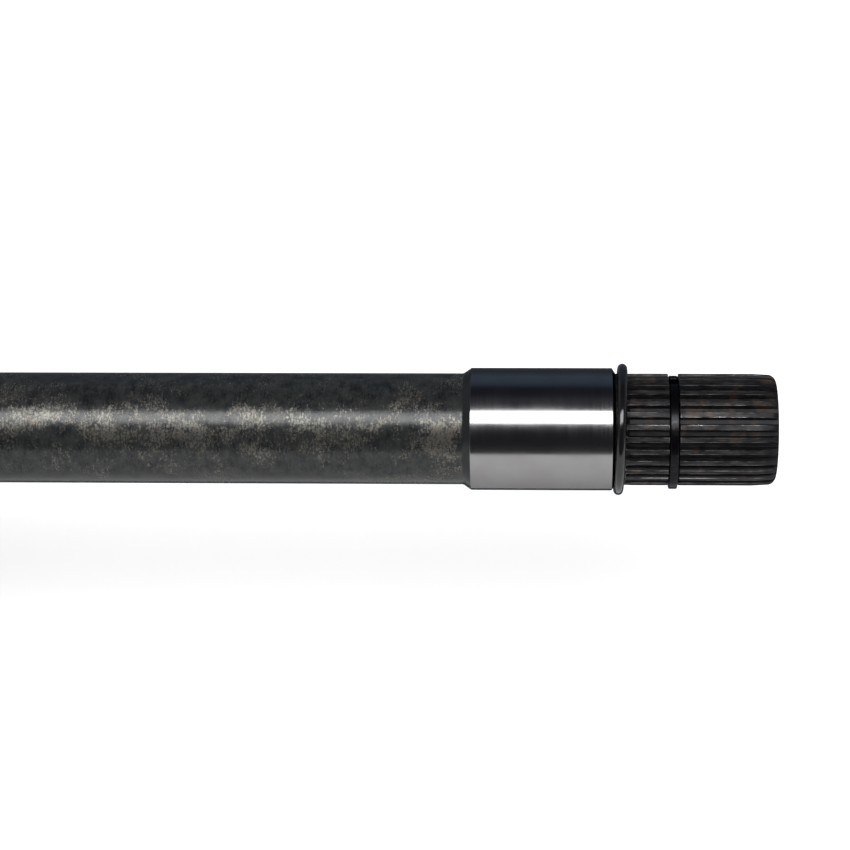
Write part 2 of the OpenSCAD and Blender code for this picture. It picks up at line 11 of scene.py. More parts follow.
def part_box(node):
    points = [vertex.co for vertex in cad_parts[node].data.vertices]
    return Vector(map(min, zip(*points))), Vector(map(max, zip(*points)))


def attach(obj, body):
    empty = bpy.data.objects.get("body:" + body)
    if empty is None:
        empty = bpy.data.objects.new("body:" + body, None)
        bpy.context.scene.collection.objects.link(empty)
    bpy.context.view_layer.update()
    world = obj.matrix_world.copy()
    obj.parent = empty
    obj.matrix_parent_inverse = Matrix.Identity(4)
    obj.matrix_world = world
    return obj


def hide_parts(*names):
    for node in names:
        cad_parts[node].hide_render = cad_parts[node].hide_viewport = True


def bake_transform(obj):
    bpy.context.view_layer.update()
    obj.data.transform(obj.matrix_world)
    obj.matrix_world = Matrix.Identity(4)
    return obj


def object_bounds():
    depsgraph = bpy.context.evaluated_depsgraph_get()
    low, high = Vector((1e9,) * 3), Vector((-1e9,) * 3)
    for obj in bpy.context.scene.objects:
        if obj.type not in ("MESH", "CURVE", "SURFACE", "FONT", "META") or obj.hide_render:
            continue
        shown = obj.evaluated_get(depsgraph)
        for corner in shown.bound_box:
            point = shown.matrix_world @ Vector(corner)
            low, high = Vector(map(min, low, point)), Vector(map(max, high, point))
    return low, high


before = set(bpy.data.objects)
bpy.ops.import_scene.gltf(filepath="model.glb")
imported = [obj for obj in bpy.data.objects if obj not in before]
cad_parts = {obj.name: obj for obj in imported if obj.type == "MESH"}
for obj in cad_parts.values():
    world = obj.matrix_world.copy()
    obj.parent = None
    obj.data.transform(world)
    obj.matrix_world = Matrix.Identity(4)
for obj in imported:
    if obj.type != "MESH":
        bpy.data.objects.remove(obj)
cad_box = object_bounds()

MM = 0.001

# Spline at the inboard tip
TEETH = 28
TOOTH_DEPTH = 1.6
SPLINE_PHASE = math.radians(1.6)

# Spline and thread at the hub
HUB_TEETH = 27
HUB_TOOTH_DEPTH = 1.2
HUB_R = 14.0
THREAD_R = 12.0

# Both splines: half the width of a root, and how far a flank leans
ROOT_HALF_W = 0.6
FLANK_SLOPE = 0.32

# Thickness of the boots' rubber
BOOT_WALL = 2.3

# Where the shaft's skin is worn: the middle of each stretch and half its length
WORN_ZONES = [(108, 12), (131, 17), (206, 7)]

# Edge reflections of the shaft's steels, weaker than white
DIM_TINT = (0.6, 0.6, 0.6, 1)

# Light
WORLD_LIGHT = 1.95
SOFT_BOX_POWER = 20.0
# Dim glow of the sheet behind the axle that only reflections see: painted shade of the floor there.
BACK_SHADE_GLOW = (0.09, 0.11, 0.14)
SIDE_CARD = (0.35, 0.35, 0.36)
# Colours that reflections see, by angle in degrees from straight up, positive to the back
CARDS = [
    (-180, (0.055, 0.055, 0.06)), (-100, (0.085, 0.085, 0.09)), (-85, (0.035, 0.035, 0.04)),
    (-62, (0.028, 0.028, 0.035)), (-50, (0.06, 0.065, 0.075)), (0, (0.07, 0.07, 0.09)),
    (14, (0.03, 0.03, 0.04)), (28, (0.03, 0.035, 0.05)), (42, (0.105, 0.135, 0.185)),
    (62, (0.125, 0.17, 0.23)), (80, (0.09, 0.105, 0.13)),
]


# ---------------------------------------------------------------- places, from the frame

def reach(node):
    """Lowest x, highest x and largest radius of a CAD node, in millimetres."""
    lo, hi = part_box(node)
    return lo.x / MM, hi.x / MM, max(-lo.y, hi.y) / MM


WELD_X, TIP_X, SHOULDER_R = reach("intermediate_shaft")
MOUTH_X, _, COLLAR_R = reach("inner_joint_housing")
_, BELL_MOUTH_X, BELL_R = reach("outer_joint_housing")
BEARING_X0, BEARING_X1, _ = reach("carrier_outer_ring")
SHIELD_X0, SHIELD_X1, SHIELD_R = reach("dust_shield")
BAR_X0, BAR_X1, BAR_SEAT_R = reach("bar_shaft")
CLIP_X0, CLIP_X1, _ = reach("circlip")

INNER_X = MOUTH_X + 40
OUTER_X = BELL_MOUTH_X - 19
SHAFT_R = 15.925
JOURNAL_R = 17.5
SPLINE_R = 15.95
SPLINE_X = TIP_X - 41.7
O_SEAT_X = SPLINE_X - 3.8
O_SEAT_R = 15.9
JOURNAL_END_X = O_SEAT_X - 1
JOURNAL_X = JOURNAL_END_X - 40
CONE_X = JOURNAL_X - 2.3
CLIP_X = (CLIP_X0 + CLIP_X1) / 2
SEAT_END_X = 12


# ---------------------------------------------------------------- outlines and meshes

def arc(x, r, radius, start, end, steps=8):
    """Points (x, r) of an arc about (x, r), its angles in degrees."""
    turns = np.radians(np.linspace(start, end, steps + 1))
    return [(x + radius * math.cos(a), r + radius * math.sin(a)) for a in turns]


def rounded(points, radius=0.4, steps=3, closed=False):
    """The outline with its corners rounded. A point's third number, if it has one, is its own radius."""
    made = []
    count = len(points)
    for i, point in enumerate(points):
        here = Vector(point[:2])
        if not closed and i in (0, count - 1):
            made.append(tuple(here))
            continue
        before = Vector(points[i - 1][:2]) - here
        after = Vector(points[(i + 1) % count][:2]) - here
        half = before.angle(after) / 2
        size = point[2] if len(point) > 2 else radius
        cut = min(size / max(math.tan(half), 1e-6), 0.45 * before.length, 0.45 * after.length)
        if size <= 0 or half > 1.5:
            made.append(tuple(here))
            continue
        a, b = here + before.normalized() * cut, here + after.normalized() * cut
        for t in np.linspace(0, 1, steps + 1):
            made.append(tuple((1 - t) ** 2 * a + 2 * t * (1 - t) * here + t * t * b))
    return made


def filled(points, x0, x1, step):
    """The outline with points added, no further apart than step, where it runs between x0 and x1."""
    made = [points[0]]
    for (xa, ra), (xb, rb) in zip(points, points[1:]):
        if min(xa, xb) >= x0 - 1e-6 and max(xa, xb) <= x1 + 1e-6:
            extra = int(abs(xb - xa) / step)
            for i in range(1, extra + 1):
                t = i / (extra + 1)
                made.append((xa + (xb - xa) * t, ra + (rb - ra) * t))
        made.append((xb, rb))
    return made


def sector_angles(sectors):
    """Evenly spaced angles, from the top towards the front, the first half a step past the top."""
    return (np.arange(sectors) + 0.5) * 2 * math.pi / sectors


def new_mesh(name, vertices, faces, sharp=35):
    """A smooth mesh with outward normals, its edges sharp above an angle in degrees. Vertices are in mm."""
    mesh = bpy.data.meshes.new(name)
    mesh.from_pydata((np.asarray(vertices) * MM).tolist(), [], faces)
    shape = bmesh.new()
    shape.from_mesh(mesh)
    bmesh.ops.recalc_face_normals(shape, faces=shape.faces)
    shape.to_mesh(mesh)
    shape.free()
    mesh.shade_smooth()
    mesh.set_sharp_from_angle(angle=math.radians(sharp))
    return mesh


def turned(name, rows, angles=None, closed=False, sharp=35):
    """A mesh about the X axis. Each row is x and a radius, which may be one value or one for each angle."""
    angles = sector_angles(192) if angles is None else angles
    count = len(angles)
    around = np.stack([np.zeros(count), -np.sin(angles), np.cos(angles)], axis=1)
    vertices, rings = [], []
    for x, r in rows:
        start = len(vertices)
        if np.max(r) < 1e-6:
            vertices.append((float(np.mean(x)), 0.0, 0.0))
            rings.append([start] * count)
            continue
        ring = around * np.reshape(r * np.ones(count), (-1, 1))
        ring[:, 0] = x
        vertices.extend(ring.tolist())
        rings.append(list(range(start, start + count)))
    faces = []
    pairs = list(zip(rings, rings[1:])) + ([(rings[-1], rings[0])] if closed else [])
    for low, high in pairs:
        for j in range(count):
            k = (j + 1) % count
            corners = [low[j], low[k], high[k], high[j]]
            faces.append([v for n, v in enumerate(corners) if v not in corners[:n]])
    return new_mesh(name, vertices, faces, sharp)


def tube_faces(rows, sides):
    """Faces of a tube whose vertices are rows of sides, with both ends capped."""
    faces = []
    for a in range(0, (rows - 1) * sides, sides):
        for j in range(sides):
            k = (j + 1) % sides
            faces.append([a + j, a + k, a + sides + k, a + sides + j])
    last = (rows - 1) * sides
    return faces + [list(range(sides)), list(range(last, last + sides))]


def zoned(mesh, *limits):
    """Gives each face the slot of its zone along X: 0 below the first limit, 1 below the second, and on."""
    for face in mesh.polygons:
        face.material_index = sum(face.center.x / MM > limit for limit in limits)


def piece(name, mesh, materials, body=None, stands_for=()):
    """A piece of the object with its material slot, body and the CAD nodes that it stands for."""
    obj = bpy.data.objects.new(name, mesh)
    bpy.context.scene.collection.objects.link(obj)
    for material in materials:
        obj.data.materials.append(material)
    if stands_for:
        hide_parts(*stands_for)
    if body:
        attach(obj, body)
    return obj


# ---------------------------------------------------------------- materials

def tree_node(tree, kind, inputs, **settings):
    """A shader node in a tree, its inputs, by index or name, set to constants or linked."""
    made = tree.nodes.new("ShaderNode" + kind)
    for key, value in settings.items():
        setattr(made, key, value)
    for key, value in inputs.items():
        if isinstance(value, bpy.types.NodeSocket):
            tree.links.new(value, made.inputs[key])
        else:
            made.inputs[key].default_value = value
    return made


class Finish:
    """A material: one Principled shader and the procedural textures that drive it."""

    def __init__(self, name, colour, roughness, **sockets):
        self.material = bpy.data.materials.new(name)
        self.material.use_nodes = True
        self.tree = self.material.node_tree
        self.shader = self.tree.nodes["Principled BSDF"]
        self.place = self.node("TexCoord", {}).outputs["Object"]
        self.heights = []
        self.set("Base Color", (*colour, 1))
        self.set("Roughness", roughness)
        for socket, value in sockets.items():
            self.set(socket.replace("_", " "), value)

    def set(self, socket, value):
        """Sets one of the shader's sockets to a constant or to a texture."""
        if isinstance(value, bpy.types.NodeSocket):
            self.tree.links.new(value, self.shader.inputs[socket])
        else:
            self.shader.inputs[socket].default_value = value

    def node(self, kind, inputs, **settings):
        """A node in this material's tree."""
        return tree_node(self.tree, kind, inputs, **settings)

    def noise(self, size, detail=3, seed=0, roughness=0.5, stretch=(1, 1, 1)):
        """Noise from 0 to 1 whose features are about size mm, stretched by stretch along X, Y and Z."""
        scale = [1 / (size * MM * s) for s in stretch]
        shift = (seed, seed * 2, seed * 3)
        at = self.node("Mapping", {"Vector": self.place, "Scale": scale, "Location": shift})
        inputs = {"Vector": at.outputs[0], "Scale": 1, "Detail": detail, "Roughness": roughness}
        return self.node("TexNoise", inputs).outputs[0]

    def level(self, value, low, high, to_low=0.0, to_high=1.0):
        """The value mapped from low..high to to_low..to_high, and held there outside it."""
        inputs = {0: value, 1: low, 2: high, 3: to_low, 4: to_high}
        return self.node("MapRange", inputs, interpolation_type="SMOOTHSTEP").outputs[0]

    def math(self, operation, a, b=0.0):
        """One sum on two values."""
        return self.node("Math", {0: a, 1: b}, operation=operation).outputs[0]

    def mixed(self, share, a, b):
        """Colour a turning into colour b as share goes from 0 to 1."""
        a, b = [(*c, 1) if isinstance(c, tuple) else c for c in (a, b)]
        return self.node("Mix", {0: share, 6: a, 7: b}, data_type="RGBA").outputs[2]

    def axis(self, letter):
        """One coordinate, in mm."""
        parts = self.node("SeparateXYZ", {0: self.place})
        return self.math("MULTIPLY", parts.outputs["XYZ".index(letter)], 1 / MM)

    def radius(self):
        """The distance from the X axis, in mm."""
        y, z = self.axis("Y"), self.axis("Z")
        return self.math("SQRT", self.math("ADD", self.math("MULTIPLY", y, y), self.math("MULTIPLY", z, z)))

    def bump(self, height, depth, strength=1.0):
        """Adds a bump whose height of 0 to 1 stands for depth mm, on top of the earlier ones."""
        inputs = {"Height": height, "Distance": depth * MM, "Strength": strength}
        if self.heights:
            inputs["Normal"] = self.heights[-1]
        self.heights.append(self.node("Bump", inputs).outputs[0])
        self.set("Normal", self.heights[-1])

    def edges(self, width):
        """How close a point is to a convex or concave edge, from 0 to 1."""
        bevel = self.node("Bevel", {"Radius": width * MM}, samples=6).outputs[0]
        flat = self.node("NewGeometry", {}).outputs["Normal"]
        same = self.node("VectorMath", {0: bevel, 1: flat}, operation="DOT_PRODUCT").outputs["Value"]
        return self.level(same, 0.999, 0.93)


def black_oxide():
    """Mottled black-oxide skin of the shaft, rubbed through to grey metal in fine flecks. The flecks gather
    at the height of the highlight, with fewer on top and underneath: partly wear, partly a painted highlight
    band. The cone is painted nearly black as painted shade.
    """
    f = Finish("black_oxide_worn", (0.02, 0.021, 0.022), 0.22, Metallic=0.5)
    x = f.axis("X")
    zones = 0.0
    for centre, half in WORN_ZONES:
        away = f.math("ABSOLUTE", f.math("SUBTRACT", x, centre))
        zones = f.math("MAXIMUM", f.level(away, half, half * 0.3), zones)
    z = f.axis("Z")
    # Flecks gather in a band at the height of the soft box's highlight: partly wear, partly a painted
    # highlight band.
    front = f.math("MULTIPLY", f.level(z, 15, 11.5), f.level(z, -8, 4))
    patches_and_painted_shade = f.level(f.noise(9, 7, seed=1, roughness=0.72, stretch=(1.2, 1, 1)), 0.36, 0.66, -0.07, 0.08)
    # The top and the underside get fewer flecks and stay darker: painted shade, the other side of the same
    # band.
    patches_and_painted_shade = f.math("ADD", patches_and_painted_shade, f.level(z, 15.6, 13, -0.03, 0.01))
    patches_and_painted_shade = f.math("ADD", patches_and_painted_shade, f.level(z, 7, -3, 0.0, -0.035))
    wear_and_highlight_cover = f.math("ADD", patches_and_painted_shade, f.math("MULTIPLY", f.math("MULTIPLY", zones, front), 0.045))
    flecks = f.noise(0.65, 6, seed=4, roughness=0.85, stretch=(0.8, 1.2, 1.2))
    hatch = f.noise(0.5, 3, seed=8, roughness=0.7, stretch=(1, 6, 6))
    flecks = f.math("ADD", f.math("MULTIPLY", flecks, 0.75), f.math("MULTIPLY", hatch, 0.25))
    # The wear mask, which also holds the painted highlight band.
    worn = f.level(f.math("ADD", flecks, wear_and_highlight_cover), 0.51, 0.64)
    # Painted shade on the cone: its flecks are taken off here, and below its colour is pushed almost to
    # black.
    cone_painted_shade = f.level(x, CONE_X - 0.1, CONE_X + 0.3)
    worn = f.math("MULTIPLY", worn, f.math("SUBTRACT", 1, cone_painted_shade))
    cloud = f.level(f.noise(4, 7, seed=2, roughness=0.72), 0.36, 0.66)
    strokes = f.level(f.noise(0.4, 3, seed=5, roughness=0.7, stretch=(1, 7, 7)), 0.35, 0.7)
    grain = f.noise(0.45, 3, seed=3, roughness=0.7)
    brown = f.level(f.noise(5, 3, seed=6), 0.52, 0.7)
    skin = f.mixed(cloud, (0.006, 0.0075, 0.009), (0.024, 0.025, 0.025))
    skin = f.mixed(f.math("MULTIPLY", strokes, 0.35), skin, (0.042, 0.042, 0.04))
    bare = f.mixed(brown, (0.104, 0.1, 0.087), (0.1, 0.088, 0.074))
    base = f.mixed(worn, skin, bare)
    # Painted shade: the cone's colour is pushed almost to black.
    f.set("Base Color", f.mixed(f.math("MULTIPLY", cone_painted_shade, 0.75), base, (0.008, 0.009, 0.01)))
    f.set("Metallic", f.level(worn, 0, 1, 0.42, 0.75))
    f.set("Roughness", f.math("ADD", f.level(grain, 0.3, 0.7, 0.16, 0.25), f.math("MULTIPLY", worn, 0.12)))
    f.set("Specular Tint", DIM_TINT)
    f.bump(f.noise(0.5, 3, seed=7, roughness=0.7, stretch=(1, 30, 30)), 0.004)
    f.bump(f.math("SUBTRACT", grain, f.math("MULTIPLY", worn, 0.4)), 0.02)
    return f.material


def ground_steel():
    """Bright ground steel of the seal journal, with fine marks round it and a few pits."""
    f = Finish("ground_steel", (0.232, 0.232, 0.236), 0.2, Metallic=1.0, Specular_Tint=DIM_TINT)
    marks = f.noise(0.16, 3, seed=11, stretch=(1, 120, 120))
    stain = f.noise(9, 4, seed=12)
    near_end = f.level(f.axis("X"), JOURNAL_X + 10, JOURNAL_END_X, 0.0, 0.05)
    pits = f.level(f.math("ADD", f.noise(0.5, 3, seed=13, roughness=0.6), near_end), 0.67, 0.72)
    clean = f.mixed(f.level(stain, 0.4, 0.7), (0.235, 0.232, 0.236), (0.218, 0.212, 0.215))
    f.set("Base Color", f.mixed(f.math("MULTIPLY", pits, 0.7), clean, (0.3, 0.29, 0.28)))
    f.set("Roughness", f.level(f.math("ADD", marks, stain), 0.8, 1.2, 0.14, 0.19))
    f.bump(marks, 0.0015)
    return f.material


def splined_steel():
    """Dark oily steel of the spline: streaks along the teeth, rust tints and thin bright lines on the crests'
    edges, partly rubbed metal and partly painted glints.
    """
    f = Finish("splined_steel", (0.02, 0.02, 0.022), 0.42, Metallic=0.7, Specular_Tint=DIM_TINT)
    streaks = f.noise(0.35, 5, seed=21, roughness=0.65, stretch=(9, 1, 1))
    blotches = f.noise(5, 5, seed=22, roughness=0.65)
    more_on_top = f.level(f.axis("Z"), 2, 14, 0.0, 0.04)
    rust = f.level(f.math("ADD", blotches, more_on_top), 0.54, 0.68)
    # Thin bright lines on the crests' edges: partly rubbed metal, partly painted glints.
    crest = f.level(f.radius(), SPLINE_R - 0.25, SPLINE_R - 0.04)
    breaks = f.level(f.noise(1.2, 6, seed=23, roughness=0.75, stretch=(6, 1, 1)), 0.42, 0.62)
    rubbed = f.math("MULTIPLY", f.math("MULTIPLY", crest, breaks), f.math("ADD", f.edges(0.2), 0.06))
    skin = f.mixed(f.level(streaks, 0.35, 0.65), (0.005, 0.005, 0.0062), (0.017, 0.017, 0.019))
    tinted = f.mixed(f.math("MULTIPLY", rust, 0.7), skin, (0.04, 0.027, 0.021))
    # Painted glints along the crests' edges, mixed with rubbed metal.
    f.set("Base Color", f.mixed(rubbed, tinted, (0.32, 0.315, 0.31)))
    dull = f.level(streaks, 0.3, 0.7, 0.46, 0.62)
    f.set("Roughness", f.math("SUBTRACT", dull, f.math("MULTIPLY", rubbed, 0.25)))
    f.bump(streaks, 0.02)
    return f.material


def glossy_rubber():
    """Oiled black rubber of the O-ring."""
    f = Finish("o_ring_rubber", (0.003, 0.003, 0.0035), 0.1, Specular_IOR_Level=0.45)
    f.set("Roughness", f.level(f.noise(1.5, 3, seed=31), 0.3, 0.7, 0.07, 0.15))
    f.bump(f.noise(0.4, 3, seed=32), 0.006)
    return f.material


def spring_wire():
    """Black spring steel of the circlip and the retaining rings."""
    f = Finish("spring_wire", (0.012, 0.012, 0.013), 0.24, Metallic=0.9, Specular_Tint=DIM_TINT)
    spots = f.level(f.noise(1.2, 4, seed=41), 0.55, 0.75)
    f.set("Base Color", f.mixed(spots, (0.009, 0.009, 0.011), (0.022, 0.02, 0.019)))
    f.bump(f.noise(0.3, 3, seed=42), 0.01)
    return f.material


def forged_steel():
    """Dark forged skin of the housings, with scale and a little oil."""
    f = Finish("forged_steel", (0.05, 0.05, 0.052), 0.45, Metallic=0.8)
    scale = f.noise(2.2, 5, seed=51, roughness=0.65)
    pits = f.noise(0.6, 3, seed=52)
    skin = f.mixed(f.level(scale, 0.35, 0.65), (0.03, 0.031, 0.033), (0.075, 0.073, 0.07))
    f.set("Base Color", f.mixed(f.math("MULTIPLY", f.edges(0.8), 0.5), skin, (0.2, 0.19, 0.18)))
    f.set("Roughness", f.level(scale, 0.3, 0.7, 0.36, 0.56))
    f.bump(scale, 0.12)
    f.bump(pits, 0.04)
    return f.material


def machined(name, colour, seed, roughness=0.26):
    """Turned metal with fine marks round it, oil-stained in places and brighter on its edges."""
    f = Finish(name, colour, roughness, Metallic=1.0)
    marks = f.noise(0.25, 3, seed=seed, stretch=(1, 60, 60))
    stain = f.level(f.noise(8, 4, seed=seed + 1), 0.4, 0.7)
    dull = tuple(0.72 * c for c in colour)
    bright = tuple(min(1.0, 1.6 * c) for c in colour)
    rubbed = f.math("MULTIPLY", f.edges(0.4), 0.6)
    f.set("Base Color", f.mixed(rubbed, f.mixed(stain, colour, dull), bright))
    f.set("Roughness", f.level(f.math("ADD", marks, stain), 0.5, 1.5, roughness - 0.06, roughness + 0.1))
    f.bump(marks, 0.004)
    return f.material


def polished(name, colour, seed, roughness=0.12):
    """Hardened and polished metal of balls, rollers, needles and races, with faint running marks."""
    f = Finish(name, colour, roughness, Metallic=1.0)
    haze = f.noise(3, 4, seed=seed)
    f.set("Roughness", f.level(haze, 0.35, 0.7, roughness * 0.6, roughness * 1.8))
    f.set("Base Color", f.mixed(f.level(haze, 0.4, 0.7), colour, tuple(0.8 * c for c in colour)))
    f.bump(f.noise(0.3, 2, seed=seed + 1), 0.002)
    return f.material


def boot_rubber():
    """Matt black rubber of the boots, with a fine grain, patches of dust and a slightly uneven surface."""
    f = Finish("boot_rubber", (0.018, 0.018, 0.019), 0.55, Specular_IOR_Level=0.4)
    grain = f.noise(0.5, 4, seed=61, roughness=0.65)
    dust = f.level(f.noise(14, 5, seed=62, roughness=0.6), 0.45, 0.75)
    f.set("Base Color", f.mixed(f.math("MULTIPLY", dust, 0.5), (0.014, 0.014, 0.015), (0.05, 0.047, 0.043)))
    f.set("Roughness", f.level(f.math("ADD", grain, dust), 0.4, 1.5, 0.42, 0.72))
    f.bump(grain, 0.05)
    f.bump(f.noise(5, 2, seed=63), 0.15)
    return f.material


def seal_rubber():
    """Moulded rubber of the bearing's seals, with faint rings left by the mould."""
    f = Finish("seal_rubber", (0.015, 0.014, 0.014), 0.42, Specular_IOR_Level=0.5)
    rings = f.math("SINE", f.math("MULTIPLY", f.radius(), 9.0))
    f.set("Roughness", f.level(f.noise(2, 3, seed=71), 0.3, 0.7, 0.34, 0.52))
    f.bump(f.level(rings, -1, 1), 0.03)
    f.bump(f.noise(0.4, 3, seed=72), 0.02)
    return f.material


def band_steel():
    """Stainless band of the clamps, brushed along the band, with small scratches."""
    f = Finish("clamp_band", (0.42, 0.42, 0.41), 0.3, Metallic=1.0)
    brush = f.noise(0.12, 3, seed=81, stretch=(1, 80, 80))
    scratch = f.level(f.noise(0.8, 4, seed=82, roughness=0.7, stretch=(4, 1, 1)), 0.62, 0.7)
    brushed = f.mixed(brush, (0.4, 0.4, 0.39), (0.5, 0.5, 0.49))
    f.set("Base Color", f.mixed(scratch, brushed, (0.6, 0.6, 0.58)))
    f.set("Roughness", f.level(brush, 0.3, 0.7, 0.2, 0.4))
    f.bump(brush, 0.004)
    return f.material


def bar_paint():
    """Satin black paint of the bar, slightly rippled, chipped to grey here and there."""
    f = Finish("bar_paint", (0.016, 0.016, 0.017), 0.36, Coat_Weight=0.15, Coat_Roughness=0.25)
    ripple = f.noise(1.6, 3, seed=91)
    chips = f.level(f.noise(2.4, 6, seed=92, roughness=0.8), 0.7, 0.73)
    paint = f.mixed(ripple, (0.013, 0.013, 0.014), (0.021, 0.021, 0.022))
    f.set("Base Color", f.mixed(chips, paint, (0.1, 0.09, 0.08)))
    f.set("Roughness", f.level(ripple, 0.3, 0.7, 0.3, 0.44))
    f.bump(ripple, 0.03)
    f.bump(f.math("SUBTRACT", 1, chips), 0.03)
    return f.material


def zinc_plate():
    """Yellowish zinc plate of the dust shield, clouded and dusty."""
    f = Finish("zinc_plate", (0.4, 0.39, 0.35), 0.34, Metallic=1.0)
    cloud = f.noise(5, 5, seed=101, roughness=0.65)
    dust = f.level(f.noise(2, 5, seed=102, roughness=0.75), 0.55, 0.75)
    tone = f.mixed(f.level(cloud, 0.35, 0.65), (0.34, 0.33, 0.3), (0.46, 0.445, 0.4))
    f.set("Base Color", f.mixed(f.math("MULTIPLY", dust, 0.6), tone, (0.24, 0.2, 0.16)))
    f.set("Roughness", f.level(cloud, 0.3, 0.7, 0.26, 0.46))
    f.bump(cloud, 0.02)
    return f.material


def sintered_steel():
    """Grainy sintered steel of the tone ring, faintly rusty."""
    f = Finish("sintered_steel", (0.16, 0.155, 0.15), 0.45, Metallic=0.95)
    grain = f.noise(0.45, 3, seed=111, roughness=0.7)
    rust = f.level(f.noise(4, 5, seed=112, roughness=0.7), 0.52, 0.7)
    steel = f.mixed(grain, (0.12, 0.118, 0.115), (0.2, 0.195, 0.19))
    f.set("Base Color", f.mixed(f.math("MULTIPLY", rust, 0.6), steel, (0.14, 0.075, 0.045)))
    f.set("Roughness", f.level(grain, 0.3, 0.7, 0.38, 0.56))
    f.bump(grain, 0.04)
    return f.material


# ---------------------------------------------------------------- shaft, O-ring and circlip

def groove_floor(angles, depth, teeth, radius, root_half_w, slope, phase=0.0):
    """Radius of the surface between spline teeth at each angle, where the grooves are depth deep."""
    pitch = 2 * math.pi / teeth
    off = (angles - phase) % pitch - pitch / 2
    side, up = np.abs(np.sin(off)), np.cos(off)
    root = radius - depth
    flank = (slope * root - root_half_w) / np.maximum(slope * up - side, 1e-3)
    return np.maximum(root / up, flank)


def softer(a, b, blend):
    """The smaller of two radii, with a small round where they cross."""
    return (a + b - np.sqrt((a - b) ** 2 + blend ** 2)) / 2


def shaft_outline():
    """Outline of the intermediate shaft from its weld to its drilled tip."""
    nose = 2.3
    end_r = SPLINE_R - 0.25
    seat_r = 19.98
    ring_x0, ring_x1 = BEARING_X1 + 0.02, BEARING_X1 + 1.6
    clip_x0, clip_x1, clip_floor = CLIP_X - 1.5, CLIP_X + 1.5, 13
    points = [
        (WELD_X, 0), (WELD_X, SHOULDER_R, 0.6), (BEARING_X0, SHOULDER_R, 0.6), (BEARING_X0, seat_r, 0.1),
        (ring_x0, seat_r, 0.1), (ring_x0, seat_r - 1, 0.1),
        (ring_x1, seat_r - 1, 0.1), (ring_x1, seat_r, 0.1),
        (SEAT_END_X, seat_r, 0.8), (SEAT_END_X + 8, SHAFT_R, 6), (CONE_X, SHAFT_R, 1.2),
        (JOURNAL_X, JOURNAL_R, 0.25), (JOURNAL_END_X, JOURNAL_R, 0.25), (O_SEAT_X, O_SEAT_R, 0.2),
        (SPLINE_X - 1.1, O_SEAT_R, 0), (SPLINE_X - 0.9, O_SEAT_R, 0), (SPLINE_X, O_SEAT_R, 0),
        (SPLINE_X + 0.1, SPLINE_R, 0), (SPLINE_X + 0.3, SPLINE_R, 0),
        (clip_x0 - 0.1, SPLINE_R, 0.05), (clip_x0, SPLINE_R - 0.15, 0.05), (clip_x0, clip_floor, 0.3),
        (clip_x1, clip_floor, 0.3), (clip_x1, SPLINE_R - 0.15, 0.05), (clip_x1 + 0.1, SPLINE_R, 0.05),
        (TIP_X - 7, SPLINE_R, 1.5),
    ]
    points += [(x, r, 0) for x, r in arc(TIP_X - nose, end_r - nose, nose, 90, 0, 10)]
    points += [(TIP_X, 5.2, 0.3), (TIP_X - 3, 1.8, 0.1), (TIP_X - 6, 0)]
    return filled(filled(rounded(points), SPLINE_X - 1, SPLINE_X, 0.12), SPLINE_X - 0.2, TIP_X, 0.7)


def shaft():
    """Intermediate shaft: plain shaft, ground journal, O-ring seat and spline in one piece."""
    angles = sector_angles(TEETH * 24)
    run_out = 0.8
    rows = []
    for x, r in shaft_outline():
        if x > SPLINE_X - 1:
            share = min(1.0, (x - SPLINE_X + 1) / run_out)
            depth = TOOTH_DEPTH * math.sqrt(1 - (1 - share) ** 2)
            floor = groove_floor(angles, depth, TEETH, SPLINE_R, ROOT_HALF_W, FLANK_SLOPE, SPLINE_PHASE)
            r = np.maximum(softer(floor, r, 0.08), 0) if r > 1 else r
        rows.append((x, r))
    mesh = turned("shaft", rows, angles)
    zoned(mesh, BEARING_X0 - 0.1, SEAT_END_X, JOURNAL_X - 0.05, O_SEAT_X - 0.3)
    oxide, ground = MATERIALS["oxide"], MATERIALS["ground"]
    coats = [oxide, ground, oxide, ground, splined_steel()]
    node = "intermediate_shaft"
    return piece("intermediate_shaft_steel", mesh, coats, "inner_shaft", [node])


def o_ring():
    """O-ring in front of the journal, leaning a little, with a faint mould line round it."""
    lean = math.radians(1.74)
    lean_about = math.radians(-35)
    minor = 1.45
    line = 0.05
    major = O_SEAT_R + 0.05 + minor
    section = []
    for a in np.linspace(0, 2 * math.pi, 40, endpoint=False):
        size = minor - line + line * math.exp(-(((a - math.pi / 2) / 0.07) ** 2))
        section.append((size * math.cos(a), major + size * math.sin(a)))
    mesh = turned("o_ring", section, closed=True)
    turn = Matrix.Rotation(lean_about, 4, "X") @ Matrix.Rotation(lean, 4, "Y")
    mesh.transform(Matrix.Translation(((O_SEAT_X + minor) * MM, 0, 0)) @ turn)
    return piece("o_ring_rubber", mesh, [glossy_rubber()], "inner_shaft", ["o_ring"])


